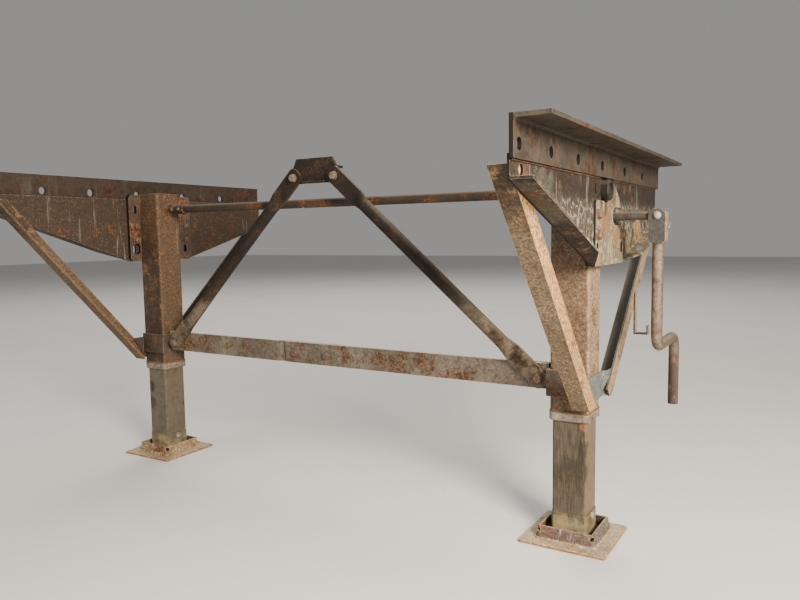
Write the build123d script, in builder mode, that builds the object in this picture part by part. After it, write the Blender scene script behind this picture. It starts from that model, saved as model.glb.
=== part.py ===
from build123d import *
import os
from math import atan2, cos, degrees, hypot, radians, sin

# Landing gear of a semi trailer: two crank-down legs, the rails and wing plates that they hang
# from, and the braces between them.
#
# Millimetres. +X is the gear's left, the crank's side. +Y is its rear. +Z is up.
# The origin is the middle of the apex seat's top face. The rails' top faces lie in that same
# plane, Z = 0.
# Across a leg, "out" is measured from the leg's centre line away from the gear's middle, and
# "back" from the same line towards the rear.

# Places
leg_track = 1770.0
leg_back = 45.0
floor_z = -1143.0

# Legs
outer_size = 114.3
outer_wall = 5.0
outer_corner = 10.0
outer_top_z = -57.0
collar_lip = 3.35
collar_corner = 16.0
collar_top_z = -757.0
collar_height = 27.0
collar_edge = 4.0
inner_wall = 6.4
inner_corner = 8.0
inner_top_z = -430.0
slide_gap = 1.35

# Shoes
shoe_size = 254.0
shoe_thick = 8.0
shoe_corner = 6.0
box_size = 180.0
box_height = 36.0
box_wall = 6.0
box_corner = 14.0
box_taper = 14.0
relief_radius = 7.0
relief_height = 32.0
sleeve_wall = 2.5
foot_pin_radius = 8.0
foot_pin_height = 72.0
foot_pin_head = 5.0

# Rails and plates that carry a leg
leg_plate_thick = 14.0
leg_plate_top_z = -60.0
leg_plate_front = 105.0
leg_plate_rear = 215.0
leg_plate_corner = 18.0
wing_thick = 6.0
wing_top_z = -78.0
wing_front = 678.0
wing_rear = 680.0
wing_front_end_z = -130.0
wing_rear_end_z = -195.0
wing_foot_front = 94.0
wing_foot_rear = 206.0
wing_foot_z = -332.0
wing_flange = 50.0
wing_cut_front = 120.0
wing_cut_rear = 80.0
wing_bend = 5.0
wing_hole_radius = 13.0
wing_hole_back = -618.0
wing_hole_z = -107.0
clamp_thick = 6.0
clamp_front = 92.0
clamp_rear = 204.0
clamp_shoulder_z = -152.0
clamp_corner = 12.0
clamp_arch_back = 23.0
clamp_arch_z = -278.0
clamp_arch_radius = 187.0
clamp_notch_radius = 26.0
rail_width = 89.0
rail_depth = 88.0
rail_thick = 9.5
rail_front = 683.0
rail_rear = 680.0
rail_root = 8.0
rail_toe = 4.0
rail_gauge = 50.0
rail_bolt_pitch = 304.8
rail_bolt_count = 4
rail_bolt_radius = 8.5
rail_hole_z = -58.0
rail_hole_radius = 14.0
rail_hole_backs = (-652.0, -460.0, -262.0, -46.0, 197.0, 427.0)

# Bolts through the leg plate, the wing plate and the clamp plate
bolt_radius = 8.5
bolt_column_front = -74.0
bolt_column_rear = 182.0
bolt_slot_top_z = -120.0
bolt_row_zs = (-189.0, -246.0)
bolt_slot_foot_z = -284.0
bolt_slot_height = 34.0
spare_hole_radius = 22.0
spare_hole_back = -74.0
spare_hole_z = -282.0

# Drive
shaft_z = -122.0
shaft_radius = 11.1
shaft_tube_radius = 15.5
shaft_tube_wall = 3.0
shaft_boss_radius = 21.0
shaft_boss_length = 9.0
hub_radius = 29.0
hub_proud = 16.0
hub_opening_radius = 33.0
hub_edge = 3.0
hub_recess_radius = 20.0
hub_recess = 6.0
coupler_gap = 14.0
coupler_length = 78.0
coupler_wall = 4.0
running_gap = 0.08
fit_gap = 0.5
crank_setback = 52.85
crank_z = -193.0
crank_radius = 12.7
crank_eye_half = 10.0
crank_hole_radius = 19.0
case_depth = 98.0
case_top_z = -86.0
case_foot_z = -262.0
case_in = 45.0
case_corner = 16.0
case_lid = 8.0

# Crank handle
pivot_out = 206.0
pivot_radius = 8.0
pivot_head_radius = 12.0
pivot_head_height = 7.0
handle_radius = 15.9
handle_wall = 4.0
handle_gap = 0.3
clevis_thick = 6.0
clevis_in = 24.0
clevis_top = 19.0
clevis_foot = 80.0
clevis_top_cut = 13.0
clevis_foot_cut = 9.0
tube_top = 43.0
arm_drop = 382.0
throw_length = 272.0
grip_drop = 224.0
handle_bend = 44.0

# Braces along the trailer
angle_leg = 50.0
angle_thick = 6.0
angle_root = 6.0
brace_spare = 80.0
front_brace_top_back = -668.0
front_brace_top_z = -97.0
front_brace_foot_back = -92.0
front_brace_foot_z = -738.0
rear_brace_heel_back = 143.0
rear_brace_heel_z = -683.0
rear_brace_rise = 0.9135
rear_brace_cut_z = -725.0
strap_thick = 6.0
strap_top_z = -650.0
strap_foot_z = -725.0
strap_front = 112.0
strap_front_foot = 62.0
strap_rear_top = 118.0
strap_rear_foot = 74.0
wrap_thick = 8.0
wrap_top_z = -634.0
wrap_foot_z = -712.0

# Braces across the trailer, all in one plane that leans forward at the top
brace_lean = 4.5
gusset_thick = 8.0
gusset_rise = 27.0
gusset_top_half = 76.0
gusset_foot_half = 122.0
gusset_foot = 58.0
gusset_lip = 16.0
gusset_lip_half = 46.0
seat_half_width = 75.0
seat_depth = 55.0
seat_bolt_half = 45.0
seat_bolt_radius = 8.5
diagonal_radius = 21.1
diagonal_wall = 3.6
flat_width = 57.0
flat_thick = 10.0
flat_end = 28.0
flat_tip_radius = 20.0
flat_length = 136.0
flat_neck = 45.0
diagonal_top_x = 87.0
diagonal_top_drop = -36.0
diagonal_foot_reach = 100.0
diagonal_foot_drop = -669.0
lug_thick = 10.0
lug_end = 28.0
crossbar_height = 78.0
crossbar_thick = 8.0
crossbar_drop = -663.0
crossbar_end_reach = 69.0
crossbar_lap_front = -196.0
crossbar_lap_rear = 42.0
crossbar_joggle = 30.0
crossbar_bolt_edge = 46.0
cross_bolt_radius = 8.0

# Hook that the folded handle is parked in
hook_width = 25.0
hook_thick = 5.0
hook_back = 366.0
hook_top_z = -440.0
hook_foot_z = -575.0
hook_reach = 46.0
hook_tip = 30.0

# Faces worked out from the sizes above
leg_x = leg_track / 2
outer_half = outer_size / 2
inner_size = outer_size - 2 * (outer_wall + slide_gap)
collar_size = outer_size + 2 * collar_lip
leg_plate_out = outer_half + leg_plate_thick
wing_out = leg_plate_out + wing_thick
clamp_out = wing_out + clamp_thick
shoe_top_z = floor_z + shoe_thick
front_brace_out = leg_plate_out
rear_brace_out = wing_out + angle_thick
collar_foot_z = collar_top_z - collar_height
crank_back = outer_half + crank_setback
diagonal_top = (diagonal_top_x, diagonal_top_drop)
diagonal_foot = (leg_x - diagonal_foot_reach, diagonal_foot_drop)
crossbar_end = leg_x - crossbar_end_reach

brace_plane = Plane(
    origin=(0, -seat_depth / 2, 0),
    x_dir=(1, 0, 0),
    z_dir=(0, -cos(radians(brace_lean)), -sin(radians(brace_lean))),
)


def side_plane(out):
    """The plane across which 'out' runs: sketch x is the trailer's rear, sketch y is up."""
    return Plane(origin=(leg_x + out, leg_back, 0), x_dir=(0, 1, 0), z_dir=(1, 0, 0))


def plan_plane(z):
    """A level plane over the left leg's centre line."""
    return Plane(origin=(leg_x, leg_back, z))


def save(piece, name):
    piece.part.label = name
    export_step(piece.part, f"parts/{name}.step")


def save_pair(piece, name):
    """The left piece as built, and the right one as its mirror image."""
    save(piece, f"{name}_left")
    with BuildPart() as other:
        mirror(piece.part, about=Plane.YZ)
    save(other, f"{name}_right")


os.makedirs("parts", exist_ok=True)

# Rails: angles that carry the gear, webs down and flanges out
rail_length = rail_front + rail_rear
with BuildPart() as rail:
    rail_end = Plane(
        origin=(leg_x + wing_out, leg_back - rail_front, 0), x_dir=(1, 0, 0), z_dir=(0, -1, 0)
    )
    with BuildSketch(rail_end) as rail_section:
        with BuildLine():
            Polyline(
                (0, 0),
                (rail_width, 0),
                (rail_width, -rail_thick),
                (rail_thick, -rail_thick),
                (rail_thick, -rail_depth),
                (0, -rail_depth),
                close=True,
            )
        make_face()
        corners = rail_section.vertices()
        fillet(corners.sort_by_distance((rail_thick, -rail_thick))[0], rail_root)
        toes = [(rail_width, -rail_thick), (rail_thick, -rail_depth)]
        fillet([corners.sort_by_distance(toe)[0] for toe in toes], rail_toe)
    extrude(amount=-rail_length)
    with BuildSketch(side_plane(wing_out)):
        with Locations(*[(back, rail_hole_z) for back in rail_hole_backs]):
            Circle(rail_hole_radius)
    extrude(amount=rail_thick, mode=Mode.SUBTRACT)
    rail_middle = Plane(origin=(leg_x + wing_out + rail_gauge, leg_back + (rail_rear - rail_front) / 2, 0))
    with BuildSketch(rail_middle):
        with GridLocations(rail_bolt_pitch, rail_bolt_pitch, 1, rail_bolt_count):
            Circle(rail_bolt_radius)
    extrude(amount=-rail_thick, mode=Mode.SUBTRACT)
save_pair(rail, "mounting_rail")

# Wing plates: bent plates whose slanted edges turn out as flanges
wing_front_end = (-wing_front, wing_front_end_z)
wing_front_foot = (-wing_foot_front, wing_foot_z)
wing_rear_foot = (wing_foot_rear, wing_foot_z)
wing_rear_end = (wing_rear, wing_rear_end_z)
wing_edge_out = wing_out + wing_flange
bend_radius = wing_bend + wing_thick


def bend_strip(start, end):
    """The wing's bend along one slanted edge, with its flange, between two places along it."""
    run = end[0] - start[0]
    fall = end[1] - start[1]
    first_plane = Plane(
        origin=(leg_x + leg_plate_out, leg_back + start[0], start[1]),
        x_dir=(1, 0, 0),
        z_dir=(0, run, fall),
    )
    with BuildPart() as strip:
        with BuildSketch(first_plane.offset(-2 * bend_radius)) as section:
            Polygon(
                (0, 0),
                (wing_thick + wing_flange, 0),
                (wing_thick + wing_flange, -wing_thick),
                (wing_thick, -wing_thick),
                (wing_thick, -2 * bend_radius),
                (0, -2 * bend_radius),
                align=None,
            )
            corners = section.vertices()
            fillet(corners.sort_by_distance((wing_thick, -wing_thick))[0], wing_bend)
            fillet(corners.sort_by_distance((0, 0))[0], bend_radius)
        extrude(amount=hypot(run, fall) + 4 * bend_radius)
        split(bisect_by=Plane(origin=(0, leg_back + start[0], 0), z_dir=(0, 1, 0)), keep=Keep.TOP)
        split(bisect_by=Plane(origin=(0, leg_back + end[0], 0), z_dir=(0, 1, 0)), keep=Keep.BOTTOM)
    return strip.part


def hub_hole(radius):
    """A round hole on the cross shaft's line."""
    with Locations((0, shaft_z)):
        Circle(radius, mode=Mode.SUBTRACT)


def shared_holes():
    """The holes that the leg plate, the wing plate and the clamp plate have in common."""
    columns = (bolt_column_front, bolt_column_rear)
    with Locations((crank_back, crank_z)):
        Circle(crank_hole_radius, mode=Mode.SUBTRACT)
    with Locations(*[(back, z) for back in columns for z in bolt_row_zs]):
        Circle(bolt_radius, mode=Mode.SUBTRACT)
    slots = [(back, z) for back in columns for z in (bolt_slot_top_z, bolt_slot_foot_z)]
    with Locations(*slots):
        SlotOverall(bolt_slot_height, 2 * bolt_radius, rotation=90, mode=Mode.SUBTRACT)


front_lift = bend_radius * hypot(1, (wing_front_foot[1] - wing_front_end[1]) / (wing_front - wing_foot_front))
rear_lift = bend_radius * hypot(1, (wing_rear_end[1] - wing_rear_foot[1]) / (wing_rear - wing_foot_rear))
with BuildPart() as wing:
    with BuildSketch(side_plane(leg_plate_out)):
        Polygon(
            (wing_front_end[0], wing_top_z),
            (wing_front_end[0], wing_front_end[1] + front_lift),
            (wing_front_foot[0], wing_front_foot[1] + front_lift),
            wing_front_foot,
            wing_rear_foot,
            (wing_rear_foot[0], wing_rear_foot[1] + rear_lift),
            (wing_rear_end[0], wing_rear_end[1] + rear_lift),
            (wing_rear_end[0], wing_top_z),
            align=None,
        )
        hub_hole(hub_opening_radius)
        shared_holes()
        with Locations((wing_hole_back, wing_hole_z)):
            Circle(wing_hole_radius, mode=Mode.SUBTRACT)
    extrude(amount=wing_thick)
    add(bend_strip(wing_front_end, wing_front_foot))
    add(bend_strip(wing_rear_foot, wing_rear_end))
    with BuildSketch(plan_plane(wing_foot_z)):
        Polygon(
            (leg_plate_out, -wing_front),
            (wing_edge_out, -wing_front),
            (wing_edge_out, -wing_foot_front - wing_cut_front),
            (wing_out + wing_bend, -wing_foot_front),
            (wing_out + wing_bend, wing_foot_rear),
            (wing_edge_out, wing_foot_rear + wing_cut_rear),
            (wing_edge_out, wing_rear),
            (leg_plate_out, wing_rear),
            align=None,
        )
    extrude(amount=wing_top_z - wing_foot_z, mode=Mode.INTERSECT)
save_pair(wing, "wing_plate")

# Leg plates: welded on the legs, between leg and wing plate
leg_plate_height = leg_plate_top_z - wing_foot_z
with BuildPart() as leg_plate:
    with BuildSketch(side_plane(outer_half)):
        middle_back = (leg_plate_rear - leg_plate_front) / 2
        with Locations((middle_back, (leg_plate_top_z + wing_foot_z) / 2)):
            RectangleRounded(leg_plate_front + leg_plate_rear, leg_plate_height, leg_plate_corner)
        hub_hole(hub_radius + fit_gap)
        shared_holes()
        with Locations((spare_hole_back, spare_hole_z)):
            Circle(spare_hole_radius, mode=Mode.SUBTRACT)
    extrude(amount=leg_plate_thick)
save_pair(leg_plate, "leg_plate")

# Clamp plates: arched over the bearing hub, notched behind for the crank shaft
with BuildPart() as clamp_plate:
    with BuildSketch(side_plane(wing_out)) as clamp_outline:
        with Locations((clamp_arch_back, clamp_arch_z)):
            Circle(clamp_arch_radius)
        with Locations((0, wing_foot_z)):
            Rectangle(
                clamp_rear,
                clamp_arch_radius * 2,
                align=(Align.MIN, Align.MIN),
                mode=Mode.INTERSECT,
            )
        Polygon(
            (-clamp_front, wing_foot_z),
            (clamp_rear, wing_foot_z),
            (clamp_rear, crank_z),
            (0, crank_z),
            (0, clamp_shoulder_z),
            (-clamp_front, clamp_shoulder_z),
            align=None,
        )
        with Locations((crank_back, crank_z)):
            Circle(clamp_notch_radius, mode=Mode.SUBTRACT)
            Rectangle(
                clamp_rear,
                2 * clamp_notch_radius,
                align=(Align.MIN, Align.CENTER),
                mode=Mode.SUBTRACT,
            )
        corners = clamp_outline.vertices()
        front_corner = corners.sort_by_distance((-clamp_front, clamp_shoulder_z))[0]
        rear_corner = corners.sort_by_distance((clamp_rear, crank_z - clamp_notch_radius))[0]
        fillet([front_corner, rear_corner], clamp_corner)
        hub_hole(hub_opening_radius)
        shared_holes()
    extrude(amount=clamp_thick)
save_pair(clamp_plate, "clamp_plate")

# Outer legs: square tubes closed at the top, bored for the cross shaft
outer_length = outer_top_z - collar_top_z
with BuildPart() as outer_leg:
    with BuildSketch(plan_plane(collar_top_z)):
        RectangleRounded(outer_size, outer_size, outer_corner)
    extrude(amount=outer_length)
    with BuildSketch(plan_plane(collar_top_z)):
        inside = outer_size - 2 * outer_wall
        RectangleRounded(inside, inside, outer_corner - outer_wall)
    extrude(amount=outer_length - outer_wall, mode=Mode.SUBTRACT)
    with BuildSketch(side_plane(-outer_half)):
        with Locations((0, shaft_z)):
            Circle(shaft_radius + running_gap)
    extrude(amount=outer_size, mode=Mode.SUBTRACT)
save_pair(outer_leg, "outer_leg")

# Collars: cast rings on the outer legs' ends, which guide the inner legs
with BuildPart() as collar:
    with BuildSketch(plan_plane(collar_foot_z)):
        RectangleRounded(collar_size, collar_size, collar_corner)
        inner_opening = inner_size + 2 * slide_gap
        RectangleRounded(inner_opening, inner_opening, inner_corner, mode=Mode.SUBTRACT)
    extrude(amount=collar_height)
    outer_faces = collar.faces().filter_by(Axis.Z)
    rim = [outer_faces.sort_by(Axis.Z)[i].outer_wire().edges() for i in (0, -1)]
    chamfer(rim[0] + rim[1], collar_edge)
save_pair(collar, "leg_collar")

# Inner legs: square tubes that slide in the outer ones
inner_length = inner_top_z - shoe_top_z
with BuildPart() as inner_leg:
    with BuildSketch(plan_plane(shoe_top_z)):
        RectangleRounded(inner_size, inner_size, inner_corner)
        bore = inner_size - 2 * inner_wall
        RectangleRounded(bore, bore, inner_corner - inner_wall / 2, mode=Mode.SUBTRACT)
    extrude(amount=inner_length)
    with BuildSketch(side_plane(-inner_size / 2)):
        with Locations((0, floor_z + foot_pin_height)):
            Circle(foot_pin_radius)
    extrude(amount=inner_size, mode=Mode.SUBTRACT)
save_pair(inner_leg, "inner_leg")

# Foot sleeves: sockets on the shoes that the inner legs stand in
sleeve_size = inner_size + 2 * sleeve_wall
with BuildPart() as sleeve:
    with BuildSketch(plan_plane(shoe_top_z)):
        RectangleRounded(sleeve_size, sleeve_size, inner_corner + sleeve_wall)
        RectangleRounded(inner_size, inner_size, inner_corner, mode=Mode.SUBTRACT)
    extrude(amount=foot_pin_height - shoe_thick + foot_pin_radius + sleeve_wall)
    with BuildSketch(side_plane(-sleeve_size / 2)):
        with Locations((0, floor_z + foot_pin_height)):
            Circle(foot_pin_radius)
    extrude(amount=sleeve_size, mode=Mode.SUBTRACT)
save_pair(sleeve, "foot_sleeve")

# Foot pins: through sleeve and inner leg, with a head at each side
with BuildPart() as foot_pin:
    with BuildSketch(side_plane(-sleeve_size / 2)):
        with Locations((0, floor_z + foot_pin_height)):
            Circle(foot_pin_radius)
    extrude(amount=sleeve_size)
    for face_out, way in ((-sleeve_size / 2, -1), (sleeve_size / 2, 1)):
        with BuildSketch(side_plane(face_out)):
            with Locations((0, floor_z + foot_pin_height)):
                Circle(foot_pin_radius + foot_pin_head / 2)
        extrude(amount=way * foot_pin_head)
save_pair(foot_pin, "foot_pin")

# Sand shoes: a base plate with an open box round the leg, relieved at its corners
with BuildPart() as shoe:
    with BuildSketch(plan_plane(floor_z)):
        RectangleRounded(shoe_size, shoe_size, shoe_corner)
    extrude(amount=shoe_thick)
    chamfer(shoe.faces().sort_by(Axis.Z)[-1].edges(), shoe_thick / 4)
    with BuildSketch(plan_plane(shoe_top_z)):
        RectangleRounded(box_size, box_size, box_corner)
    extrude(amount=box_height, taper=box_taper)
    with BuildSketch(plan_plane(shoe_top_z)):
        box_bore = box_size - 2 * box_wall
        RectangleRounded(box_bore, box_bore, box_corner - box_wall / 2)
    extrude(amount=box_height, taper=box_taper, mode=Mode.SUBTRACT)
    for turn in (45, 135):
        relief_plane = Plane(
            origin=(leg_x, leg_back, floor_z + relief_height),
            x_dir=(-sin(radians(turn)), cos(radians(turn)), 0),
            z_dir=(cos(radians(turn)), sin(radians(turn)), 0),
        )
        with BuildSketch(relief_plane):
            Circle(relief_radius)
        extrude(amount=box_size, both=True, mode=Mode.SUBTRACT)
save_pair(shoe, "sand_shoe")

# Leg brackets: a strap on the outer side, a wrap round the front and inner sides, and a lug
strap_jog = wing_out - strap_thick
strap_height = strap_top_z - strap_foot_z
wrap_reach = outer_half + wrap_thick
jog_start = outer_half + strap_thick
jog_length = strap_jog - outer_half
lug_x = leg_x - diagonal_foot[0]
with BuildPart() as bracket:
    with BuildSketch(plan_plane(strap_foot_z)):
        with BuildLine():
            Polyline(
                (outer_half, -strap_front),
                (outer_half + strap_thick, -strap_front),
                (outer_half + strap_thick, jog_start),
                (strap_jog + strap_thick, jog_start + jog_length),
                (strap_jog + strap_thick, strap_rear_top),
                (strap_jog, strap_rear_top),
                (strap_jog, jog_start + jog_length + strap_thick / 2),
                (outer_half, jog_start + strap_thick / 2),
                close=True,
            )
        make_face()
    extrude(amount=strap_height)
    with BuildSketch(side_plane(outer_half)):
        Polygon(
            (strap_rear_foot, strap_foot_z),
            (strap_rear_top, strap_foot_z),
            (strap_rear_top, strap_top_z),
            align=None,
        )
        Polygon(
            (-strap_front_foot, strap_foot_z),
            (-strap_front, strap_foot_z),
            (-strap_front, strap_top_z),
            align=None,
        )
    extrude(amount=wing_out, mode=Mode.SUBTRACT)
    with BuildSketch(plan_plane(wrap_foot_z)):
        with BuildLine():
            Polyline(
                (outer_half, -outer_half),
                (outer_half, -wrap_reach),
                (-wrap_reach, -wrap_reach),
                (-wrap_reach, outer_half),
                (-outer_half, outer_half),
                (-outer_half, -outer_half),
                close=True,
            )
        make_face()
    extrude(amount=wrap_top_z - wrap_foot_z)
    with BuildSketch(brace_plane):
        lug_length = lug_x - outer_half + lug_end
        with Locations((diagonal_foot[0] - lug_end + lug_length / 2, crossbar_drop)):
            Rectangle(lug_length, crossbar_height)
        with Locations(diagonal_foot):
            Circle(cross_bolt_radius, mode=Mode.SUBTRACT)
    extrude(amount=-lug_thick)
save_pair(bracket, "leg_bracket")


def angle_profile():
    """An angle's section: its heel is at the origin and its legs run towards -x and -y."""
    heel = (0, 0)
    toe_in = (-angle_leg, 0)
    toe_up = (0, -angle_leg)
    root_in = (-angle_thick - angle_root, -angle_thick)
    root_up = (-angle_thick, -angle_thick - angle_root)
    inner_toe_in = (-angle_leg, -angle_thick)
    inner_toe_up = (-angle_thick, -angle_leg)
    Polygon(heel, toe_in, inner_toe_in, root_in, root_up, inner_toe_up, toe_up, align=None)


# Front braces: from the wing plates' front ends down to the straps, in front of the legs
front_run = front_brace_foot_back - front_brace_top_back
front_fall = front_brace_foot_z - front_brace_top_z
front_length = hypot(front_run, front_fall)
front_heel = Plane(
    origin=(leg_x + front_brace_out, leg_back + front_brace_top_back, front_brace_top_z),
    x_dir=(1, 0, 0),
    z_dir=(0, front_run, front_fall),
)
with BuildPart() as front_brace:
    with BuildSketch(front_heel.offset(-brace_spare)):
        angle_profile()
    extrude(amount=front_length + 2 * brace_spare)
    split(bisect_by=Plane.XY.offset(front_brace_top_z), keep=Keep.BOTTOM)
    split(bisect_by=Plane.XY.offset(front_brace_foot_z), keep=Keep.TOP)
save_pair(front_brace, "front_brace")

# Rear braces: from the straps up to the underside of the wing plates' rear flanges
rear_run = wing_rear - rear_brace_heel_back
rear_length = rear_run * hypot(1, rear_brace_rise)
rear_heel = Plane(
    origin=(leg_x + rear_brace_out, leg_back + rear_brace_heel_back, rear_brace_heel_z),
    x_dir=(1, 0, 0),
    z_dir=(0, 1, rear_brace_rise),
)
under_flange = Plane(
    origin=(leg_x, leg_back + wing_rear, wing_rear_end_z),
    x_dir=(1, 0, 0),
    z_dir=(0, wing_rear_foot[1] - wing_rear_end[1], wing_rear - wing_foot_rear),
)
with BuildPart() as rear_brace:
    with BuildSketch(rear_heel.offset(-brace_spare)):
        angle_profile()
    extrude(amount=rear_length + 2 * brace_spare)
    split(bisect_by=under_flange, keep=Keep.BOTTOM)
    split(bisect_by=Plane.XZ.offset(-leg_back - wing_rear), keep=Keep.TOP)
    split(bisect_by=Plane.XY.offset(rear_brace_cut_z), keep=Keep.TOP)
save_pair(rear_brace, "rear_brace")

# Apex gusset: the plate where the diagonals meet, with its seat on top
with BuildPart() as gusset:
    with BuildSketch(brace_plane):
        with BuildLine():
            Polyline(
                (-gusset_foot_half, -gusset_foot),
                (gusset_foot_half, -gusset_foot),
                (gusset_top_half, gusset_rise),
                (-gusset_top_half, gusset_rise),
                close=True,
            )
        make_face()
        with Locations(diagonal_top, (-diagonal_top[0], diagonal_top[1])):
            Circle(cross_bolt_radius, mode=Mode.SUBTRACT)
    extrude(amount=gusset_thick)
    with BuildSketch(brace_plane):
        with Locations((0, -gusset_foot + gusset_thick / 2)):
            Rectangle(2 * gusset_lip_half, gusset_thick)
    extrude(amount=gusset_thick + gusset_lip)
    with BuildSketch(Plane.XY):
        Rectangle(2 * seat_half_width, seat_depth)
        with Locations((-seat_bolt_half, 0), (seat_bolt_half, 0)):
            Circle(seat_bolt_radius, mode=Mode.SUBTRACT)
    extrude(amount=-gusset_thick)
save(gusset, "apex_gusset")

# Diagonals: round tubes whose ends are pressed flat and bolted
diagonal_run = diagonal_foot[0] - diagonal_top[0]
diagonal_fall = diagonal_foot[1] - diagonal_top[1]
diagonal_span = hypot(diagonal_run, diagonal_fall)
diagonal_angle = degrees(atan2(diagonal_fall, diagonal_run))
diagonal_plane = brace_plane.offset(gusset_thick + flat_thick / 2)
along_x = cos(radians(diagonal_angle))
along_y = sin(radians(diagonal_angle))
diagonal_way = diagonal_plane.x_dir * along_x + diagonal_plane.y_dir * along_y


def diagonal_section(distance):
    """A plane square to the tube, at a distance from the top bolt towards the foot."""
    spot = (diagonal_top[0] + distance * along_x, diagonal_top[1] + distance * along_y)
    origin = diagonal_plane.from_local_coords((spot[0], spot[1], 0))
    return Plane(origin=origin, x_dir=diagonal_plane.z_dir, z_dir=diagonal_way)


tube_start = flat_length - flat_end + flat_neck
with BuildPart() as diagonal:
    with BuildSketch(diagonal_section(tube_start)):
        Circle(diagonal_radius)
        Circle(diagonal_radius - diagonal_wall, mode=Mode.SUBTRACT)
    extrude(amount=diagonal_span - 2 * tube_start)
    for start, way in ((tube_start, -1), (diagonal_span - tube_start, 1)):
        with BuildSketch(diagonal_section(start)):
            Circle(diagonal_radius)
        with BuildSketch(diagonal_section(start + way * flat_neck)):
            Rectangle(flat_thick, flat_width)
        loft()
    for start, way in ((0, 1), (diagonal_span, -1)):
        end_plane = Plane(
            origin=diagonal_section(start).origin,
            x_dir=diagonal_way * way,
            z_dir=diagonal_plane.z_dir,
        )
        with BuildSketch(end_plane) as flat:
            with Locations((-flat_end, 0)):
                Rectangle(flat_length, flat_width, align=(Align.MIN, Align.CENTER))
            fillet(flat.vertices().group_by(Axis.X)[0], flat_tip_radius)
            Circle(cross_bolt_radius, mode=Mode.SUBTRACT)
        extrude(amount=flat_thick / 2, both=True)
save_pair(diagonal, "cross_brace")

# Crossbar: two flat bars, lapped and bolted together beside the middle
bar_half = crossbar_height / 2
with BuildPart() as front_bar:
    with BuildSketch(brace_plane):
        bar_length = crossbar_end - crossbar_lap_front
        with Locations((crossbar_lap_front + bar_length / 2, crossbar_drop)):
            Rectangle(bar_length, crossbar_height)
        lap_bolts = [
            (crossbar_lap_front + crossbar_bolt_edge, crossbar_drop),
            (crossbar_lap_rear - crossbar_bolt_edge, crossbar_drop),
        ]
        with Locations(diagonal_foot, *lap_bolts):
            Circle(cross_bolt_radius, mode=Mode.SUBTRACT)
    extrude(amount=crossbar_thick)
save(front_bar, "crossbar_left")

bar_plan = Plane(
    origin=brace_plane.from_local_coords((0, crossbar_drop - bar_half, 0)),
    x_dir=(1, 0, 0),
    z_dir=brace_plane.y_dir,
)
with BuildPart() as rear_bar:
    with BuildSketch(bar_plan):
        with BuildLine():
            joggle_end = crossbar_lap_front - crossbar_thick
            joggle_start = joggle_end - crossbar_joggle
            Polyline(
                (-crossbar_end, 0),
                (joggle_start, 0),
                (joggle_end, crossbar_thick),
                (crossbar_lap_rear, crossbar_thick),
                (crossbar_lap_rear, 0),
                (joggle_end, 0),
                (joggle_start, -crossbar_thick),
                (-crossbar_end, -crossbar_thick),
                close=True,
            )
        make_face()
    extrude(amount=crossbar_height)
    with BuildSketch(brace_plane):
        with Locations((-diagonal_foot[0], diagonal_foot[1]), *lap_bolts):
            Circle(cross_bolt_radius)
    extrude(amount=2 * crossbar_thick, both=True, mode=Mode.SUBTRACT)
save(rear_bar, "crossbar_right")

# Leg shafts: each runs through its leg, from the coupler to the bearing hub
shaft_line = side_plane(0).offset(-leg_x)
shaft_spot = (0, shaft_z)
boss_in = leg_x - outer_half - shaft_boss_length
coupler_out = boss_in - coupler_gap
coupler_in = coupler_out - coupler_length
coupler_middle = (coupler_out + coupler_in) / 2
with BuildPart() as leg_shaft:
    with BuildSketch(shaft_line.offset(coupler_middle)):
        with Locations(shaft_spot):
            Circle(shaft_radius)
    extrude(amount=leg_x + clamp_out + hub_proud - hub_recess - coupler_middle)
save_pair(leg_shaft, "leg_shaft")

# Shaft bosses: rings welded on the legs' inner faces, which the leg shafts turn in
with BuildPart() as boss:
    with BuildSketch(shaft_line.offset(boss_in)):
        with Locations(shaft_spot):
            Circle(shaft_boss_radius)
            Circle(shaft_radius + running_gap, mode=Mode.SUBTRACT)
    extrude(amount=shaft_boss_length)
save_pair(boss, "shaft_boss")

# Bearing hubs: flanged housings on the legs' outer faces, which the leg shafts end in
with BuildPart() as hub:
    with BuildSketch(side_plane(outer_half)):
        with Locations(shaft_spot):
            Circle(hub_radius)
            Circle(shaft_radius + running_gap, mode=Mode.SUBTRACT)
    extrude(amount=clamp_out + hub_proud - outer_half)
    hub_face = hub.faces().sort_by(Axis.X)[-1]
    chamfer(hub_face.outer_wire().edges(), hub_edge)
    with BuildSketch(side_plane(clamp_out + hub_proud)):
        with Locations(shaft_spot):
            Circle(hub_recess_radius)
    extrude(amount=-hub_recess, mode=Mode.SUBTRACT)
save_pair(hub, "bearing_hub")

# Cross shaft: a tube from coupler to coupler
with BuildPart() as cross_shaft:
    with BuildSketch(shaft_line):
        with Locations(shaft_spot):
            Circle(shaft_tube_radius)
            Circle(shaft_tube_radius - shaft_tube_wall, mode=Mode.SUBTRACT)
    extrude(amount=coupler_middle, both=True)
save(cross_shaft, "cross_shaft")

# Couplers: turned sleeves, wide over the cross shaft's ends and narrow over the leg shafts
coupler_line = Plane(
    origin=(coupler_middle, leg_back, shaft_z), x_dir=(1, 0, 0), z_dir=(0, -1, 0)
)
coupler_half = coupler_length / 2
coupler_wide = shaft_tube_radius + coupler_wall
coupler_narrow = shaft_radius + coupler_wall
with BuildPart() as coupler:
    with BuildSketch(coupler_line):
        with BuildLine():
            Polyline(
                (-coupler_half, shaft_tube_radius),
                (-coupler_half, coupler_wide),
                (coupler_wall, coupler_wide),
                (2 * coupler_wall, coupler_narrow),
                (coupler_half, coupler_narrow),
                (coupler_half, shaft_radius),
                (0, shaft_radius),
                (0, shaft_tube_radius),
                close=True,
            )
        make_face()
    revolve(axis=Axis(coupler_line.origin, (1, 0, 0)))
save_pair(coupler, "shaft_coupler")

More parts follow.
